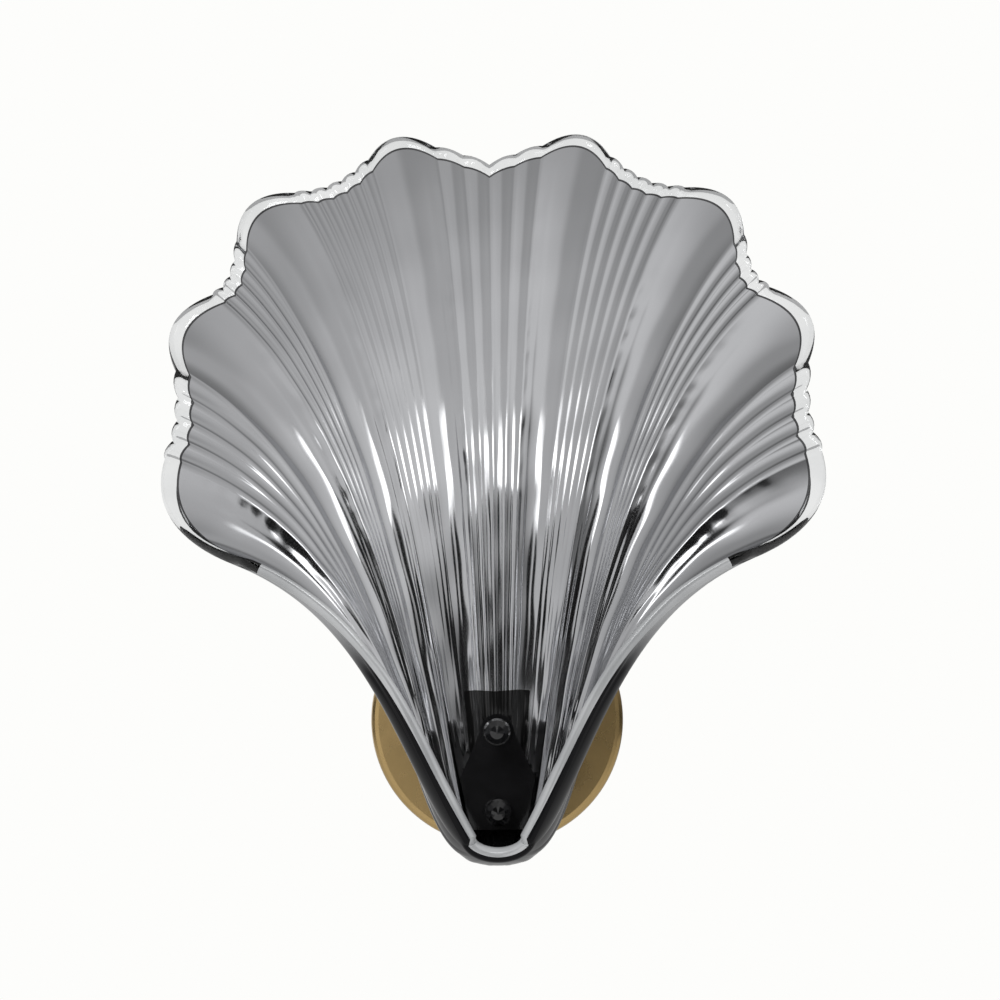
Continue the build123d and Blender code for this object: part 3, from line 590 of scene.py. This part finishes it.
def lip_directions(columns):
    """Where the lip stands out to, for each point of the border loop."""
    toe = past_edge(0, columns.angle)
    rim = past_edge(RIM_ROW, columns.angle)
    along = np.linspace(0, 1, STEPS_ALONG + 1)
    sides = []
    for angle in (-FAN_EDGE_DEG, FAN_EDGE_DEG):
        ends = np.array([past_edge(row, np.array(angle)) for row in range(ROWS)])
        sides.append(unit(sum(bernstein(row, along)[:, None] * ends[row] for row in range(ROWS))))
    left, right = sides
    return np.concatenate([toe[:-1], right[:-1], rim[:0:-1], left[:0:-1]])


def quads_of(index):
    return np.stack([index[:-1, :-1], index[:-1, 1:], index[1:, 1:], index[1:, :-1]],
                    axis=-1).reshape(-1, 4)


def face_slots(grid, coat):
    """Material slot of every quad of a face: coat, the painted shade line at its end, and clear
    glass.
    """
    rows, width = grid.shape[0] - 1, grid.shape[1] - 1
    slots = np.full((rows, width), coat)
    slots[-(STEPS_CLEAR_BAND + STEPS_BAND_EDGE):] = SLOTS.index(LINE)
    slots[-STEPS_CLEAR_BAND:] = SLOTS.index(CLEAR)
    return slots


def pad_slots(grid, slots):
    """The same, with the black pad that shows round the clamp plate."""
    middle = grid[:, grid.shape[1] // 2, 2]
    top = int(np.argmax(middle > PAD_TOP_Z))
    padded = np.zeros(slots.shape, dtype=bool)
    padded[:top, np.abs(grid[top, :-1, 0]) < PAD_HALF_WIDTH] = True
    return np.where(padded, SLOTS.index(PAD), slots)


def lip_slots(strip, length, rows, width):
    """Slots of one strip of the lip: clear at the rim, else painted pale in front and coated
    behind.
    """
    ring = np.full(length, SLOTS.index(PALE if strip < PALE_LIP_STRIPS else EDGE))
    rim_start = (width - 1) + (rows - 1)
    clear = slice(rim_start - STEPS_CLEAR_BAND, rim_start + width - 1 + STEPS_CLEAR_BAND)
    ring[clear] = SLOTS.index(CLEAR)
    return ring


def lip_loops(start, end, reach):
    """Loops of points between the two faces' borders, on a cubic that stands out by its reach."""
    return [(1 - t) ** 3 * start + 3 * t * (1 - t) ** 2 * (start + reach)
            + 3 * t ** 2 * (1 - t) * (end + reach) + t ** 3 * end
            for t in np.linspace(0, 1, STEPS_ROUND_LIP + 1)[1:-1]]


def build_shell():
    """The whole glass shell as one closed mesh with a half-round lip."""
    columns = Columns()
    front = face_grid(columns, back=False)
    back = face_grid(columns, back=True)
    rows, width = front.shape[:2]
    count = rows * width
    index = np.arange(count).reshape(rows, width)
    border = border_loop(index)
    length = len(border)
    front_points, back_points = front.reshape(-1, 3), back.reshape(-1, 3)
    lip = lip_loops(front_points[border], back_points[border], lip_directions(columns) * SHELL_LIP)
    points = np.concatenate([front_points, back_points] + lip) * MM
    loops = [border] + [2 * count + i * length + np.arange(length)
                        for i in range(STEPS_ROUND_LIP - 1)] + [border + count]
    strips = [np.stack([inner, outer, np.roll(outer, -1), np.roll(inner, -1)], axis=-1)
              for inner, outer in zip(loops, loops[1:])]
    quads = quads_of(index)
    faces = np.concatenate([quads, quads[:, ::-1] + count] + strips)
    fronts = pad_slots(front, face_slots(front, SLOTS.index(MIRROR)))
    backs = face_slots(back, SLOTS.index(EDGE))
    lips = [lip_slots(strip, length, rows, width) for strip in range(STEPS_ROUND_LIP)]
    slots = np.concatenate([fronts.reshape(-1), backs.reshape(-1), *lips])
    mesh = bpy.data.meshes.new("glass_shell_looks")
    mesh.from_pydata(points.tolist(), [], faces.tolist())
    for material in SLOTS:
        mesh.materials.append(material)
    mesh.polygons.foreach_set("material_index", slots.astype(np.int32))
    mesh.polygons.foreach_set("use_smooth", np.ones(len(faces), dtype=bool))
    mesh.update()
    shell = put_in_scene("glass_shell_looks", mesh)
    recalculate_normals(shell)
    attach(shell, "fixture")
    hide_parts("glass_shell")


def recalculate_normals(piece):
    mesh = bmesh.new()
    mesh.from_mesh(piece.data)
    bmesh.ops.recalc_face_normals(mesh, faces=mesh.faces)
    mesh.to_mesh(piece.data)
    mesh.free()


# ---- camera, stage and lights -----------------------------------------------------------------
FLOOR_Z = -0.45
FLOOR_RADIUS = 2.4
FLOOR_SEGMENTS = 96
LIGHT_TARGET = (0, -0.06, 0.08)
SOFTBOX_SIZE = 0.9
SOFTBOXES = (("key", (-1.1, -1.5, 1.5), 18.0), ("fill", (1.4, -1.0, 0.9), 5.0))
WORLD_LIGHT = ((1.0, 1.0, 1.0), 0.5)             # colour and strength where it lights the object
WORLD_SEEN = ((0.982, 0.982, 0.967), 1.0)        # and where it is seen or mirrored
# What the mirror coat sees: angles up from the horizon and round from the viewer, and strengths.
DOME_RADIUS = 2.6
DOME_SEGMENTS = (96, 48)
DOME_CENTRE = (0, -0.08, 0.095)
BLACK_FLAG = 0.012
SIDE_FLAG_RISE_DEG = (-70.0, 7.0)
SIDE_FLAG_TURN_DEG = (60.0, 98.0)
FLAG_SOFT_DEG = 0.6
WALL = 0.66
WALL_LEFT = 1.18                 # share of the walls' light that comes from left and right
WALL_RIGHT = 0.30
WALL_TURN_DEG = 4.0
CEILING_LOW_DEG = 20.0
CEILING_HIGH_DEG = 62.0
CEILING_LOW = 0.90
CEILING_HIGH = 0.60
CEILING_LEFT = 0.70
CEILING_RIGHT = 0.92
CEILING_TURN_DEG = 14.0
BEHIND_DEG = (50.0, 140.0)
BEHIND = 0.45
# Card close in front of the light, with a bright box over a black flag, in metres.
CARD_Y = -0.45
CARD_HALF_WIDTH = 0.42
CARD_LOW_Z = -0.12
CARD_HIGH_Z = 0.32
BOX_HALF_WIDTH = 0.135
BOX_SIDE_FADE = 0.03
BOX_LOW_Z = 0.192
BOX_EDGE_FADE = 0.006
BOX_HIGH_Z = (0.225, 0.300)
BOX_STRENGTH = 3.2
FLAG_TOP_Z = 0.188
FLAG_WHOLE_Z = 0.080             # the slit starts above this height
FLAG_FOOT_Z = 0.03               # only a middle strip hangs lower
FLAG_FOOT_HALF_WIDTH = 0.03
FLAG_GAP_HALF_WIDTH = 0.045      # of the pale slit between its halves
FLAG_SHOULDER = 0.10             # beyond this its top slopes down
FLAG_SLOPE = 0.75
FLAG_FADE = 0.003


def make_camera():
    data = bpy.data.cameras.new("camera")
    data.sensor_width = SENSOR_WIDTH_MM
    data.lens = SENSOR_WIDTH_MM * SHELL_DISTANCE / (METRES_PER_PIXEL * PICTURE_PIXELS)
    data.clip_start = CAMERA_CLIP
    camera = put_in_scene("camera", data)
    roll = math.radians(CAMERA_ROLL_DEG)
    right = Vector((math.cos(roll), 0, -math.sin(roll)))
    up = Vector((math.sin(roll), 0, math.cos(roll)))
    backward = Vector((0, -1, 0))
    turn = Matrix((right, up, backward)).transposed().to_4x4()
    camera.matrix_world = Matrix.Translation(CAMERA_PLACE) @ turn
    bpy.context.scene.camera = camera


def softbox(name, place, power):
    """Soft light on everything but the mirror coat, which sees the dome instead."""
    data = bpy.data.lights.new(name, "AREA")
    data.shape = "RECTANGLE"
    data.size = data.size_y = SOFTBOX_SIZE
    data.energy = power
    lamp = put_in_scene(name, data)
    lamp.location = place
    lamp.rotation_euler = (Vector(LIGHT_TARGET) - lamp.location).to_track_quat("-Z", "Y").to_euler()
    lamp.visible_camera = False
    lamp.visible_glossy = False


def show_only_in_reflections(name, data, place):
    piece = put_in_scene(name, data)
    piece.location = place
    for ray in ("camera", "diffuse", "shadow", "transmission", "volume_scatter"):
        setattr(piece, f"visible_{ray}", False)


def reflected_dome():
    """Studio that only reflections see: grey walls, a paler ceiling and a black flag each side."""
    n = Nodes("reflected_studio")
    x, y, z = n.axes()
    rise = n.maths("ARCSINE", n.maths("DIVIDE", z, DOME_RADIUS))
    turn = n.maths("ARCTAN2", x, n.maths("MULTIPLY", y, -1.0))
    off_middle = n.maths("ABSOLUTE", turn)
    ceiling = n.maths("MULTIPLY", n.band(off_middle, *BEHIND_DEG, 1.0, BEHIND),
                      n.band(rise, CEILING_LOW_DEG, CEILING_HIGH_DEG, CEILING_LOW, CEILING_HIGH))
    ceiling = n.maths("MULTIPLY", ceiling, n.band(turn, -CEILING_TURN_DEG, CEILING_TURN_DEG,
                                                  CEILING_LEFT, CEILING_RIGHT))
    walls = n.maths("MULTIPLY", WALL, n.band(turn, -WALL_TURN_DEG, WALL_TURN_DEG,
                                             WALL_LEFT, WALL_RIGHT))
    strength = n.blend(n.band(rise, 0.0, CEILING_LOW_DEG, 0.0, 1.0), walls, ceiling)
    flag = n.maths("MULTIPLY", n.window(rise, *SIDE_FLAG_RISE_DEG, FLAG_SOFT_DEG),
                   n.window(off_middle, *SIDE_FLAG_TURN_DEG, FLAG_SOFT_DEG))
    glow = n.add("ShaderNodeEmission")
    n.link(n.blend(flag, strength, BLACK_FLAG), glow.inputs["Strength"])
    n.show(glow.outputs["Emission"])
    data = bpy.data.meshes.new("reflected_studio")
    shape = bmesh.new()
    around, upwards = DOME_SEGMENTS
    bmesh.ops.create_uvsphere(shape, u_segments=around, v_segments=upwards, radius=DOME_RADIUS)
    shape.to_mesh(data)
    shape.free()
    data.materials.append(n.material)
    show_only_in_reflections("reflected_studio", data, DOME_CENTRE)


def reflected_card():
    """Card that only reflections see: a bright box over a black flag in two halves."""
    n = Nodes("reflected_card")
    x, _, z = n.axes()
    aside = n.maths("ABSOLUTE", x)
    box = n.maths("MULTIPLY", n.ramp(z, 0.0, 1.0, BOX_LOW_Z, BOX_LOW_Z + BOX_EDGE_FADE),
                  n.ramp(z, 1.0, 0.0, *BOX_HIGH_Z))
    box = n.maths("MULTIPLY", box, n.ramp(aside, 1.0, 0.0, BOX_HALF_WIDTH - BOX_SIDE_FADE,
                                          BOX_HALF_WIDTH + BOX_SIDE_FADE))
    halves = n.ramp(aside, 0.0, 1.0, FLAG_GAP_HALF_WIDTH, FLAG_GAP_HALF_WIDTH + FLAG_FADE)
    whole = n.ramp(z, 1.0, 0.0, FLAG_WHOLE_Z, FLAG_WHOLE_Z + FLAG_FADE)
    foot = n.maths("MAXIMUM", n.ramp(z, 0.0, 1.0, FLAG_FOOT_Z, FLAG_FOOT_Z + FLAG_FADE),
                   n.ramp(aside, 1.0, 0.0, FLAG_FOOT_HALF_WIDTH, FLAG_FOOT_HALF_WIDTH + FLAG_FADE))
    flag = n.maths("MULTIPLY", n.maths("MAXIMUM", halves, whole), foot)
    beyond = n.maths("MAXIMUM", n.maths("SUBTRACT", aside, FLAG_SHOULDER), 0.0)
    raised = n.maths("ADD", z, n.maths("MULTIPLY", beyond, FLAG_SLOPE))
    flag = n.maths("MULTIPLY", flag, n.ramp(raised, 1.0, 0.0, FLAG_TOP_Z, FLAG_TOP_Z + FLAG_FADE))
    glow = n.add("ShaderNodeEmission")
    n.link(n.blend(box, BLACK_FLAG, BOX_STRENGTH), glow.inputs["Strength"])
    cover = n.add("ShaderNodeMixShader")
    shaders = (n.add("ShaderNodeBsdfTransparent").outputs["BSDF"], glow.outputs["Emission"])
    for socket, source in zip(cover.inputs, (n.maths("MAXIMUM", box, flag), *shaders)):
        n.link(source, socket)
    n.show(cover.outputs["Shader"])
    data = bpy.data.meshes.new("reflected_card")
    corners = [(-1, CARD_LOW_Z), (1, CARD_LOW_Z), (1, CARD_HIGH_Z), (-1, CARD_HIGH_Z)]
    data.from_pydata([(side * CARD_HALF_WIDTH, 0, z) for side, z in corners], [], [(0, 1, 2, 3)])
    data.materials.append(n.material)
    show_only_in_reflections("reflected_card", data, (0, CARD_Y, 0))


def make_world():
    """Pale surround: white where it is seen or mirrored, softer where it lights the object."""
    world = bpy.data.worlds.new("studio")
    bpy.context.scene.world = world
    world.use_nodes = True
    tree = world.node_tree
    tree.nodes.clear()
    rays = tree.nodes.new("ShaderNodeLightPath")
    seen = rays.outputs["Is Camera Ray"]
    for name in ("Is Glossy Ray", "Is Transmission Ray"):
        either = tree.nodes.new("ShaderNodeMath")
        either.operation = "MAXIMUM"
        tree.links.new(seen, either.inputs[0])
        tree.links.new(rays.outputs[name], either.inputs[1])
        seen = either.outputs[0]
    blend = tree.nodes.new("ShaderNodeMixShader")
    tree.links.new(seen, blend.inputs[0])
    for socket, (colour, strength) in zip(blend.inputs[1:], (WORLD_LIGHT, WORLD_SEEN)):
        background = tree.nodes.new("ShaderNodeBackground")
        background.inputs["Color"].default_value = (*colour, 1)
        background.inputs["Strength"].default_value = strength
        tree.links.new(background.outputs[0], socket)
    output = tree.nodes.new("ShaderNodeOutputWorld")
    tree.links.new(blend.outputs[0], output.inputs["Surface"])


def make_floor():
    """Round pale floor well below the light, seen from above and behind."""
    mesh = bpy.data.meshes.new("floor")
    shape = bmesh.new()
    bmesh.ops.create_circle(shape, cap_ends=True, radius=FLOOR_RADIUS, segments=FLOOR_SEGMENTS)
    shape.to_mesh(mesh)
    shape.free()
    n = Nodes("pale_floor")
    pale = n.mix_colour(n.noise(3.0, detail=2.0), (0.84, 0.84, 0.835), (0.87, 0.87, 0.865))
    n.set(Roughness=0.9, Base_Color=pale)
    mesh.materials.append(n.material)
    floor = put_in_scene("floor", mesh)
    floor.location = (0, 0, FLOOR_Z)


def make_studio():
    make_world()
    make_floor()
    for name, place, power in SOFTBOXES:
        softbox(name, place, power)
    reflected_dome()
    reflected_card()


def main():
    bpy.context.scene.view_settings.view_transform = "Standard"
    make_camera()
    make_studio()
    dress_cad_nodes()
    build_shell()


main()
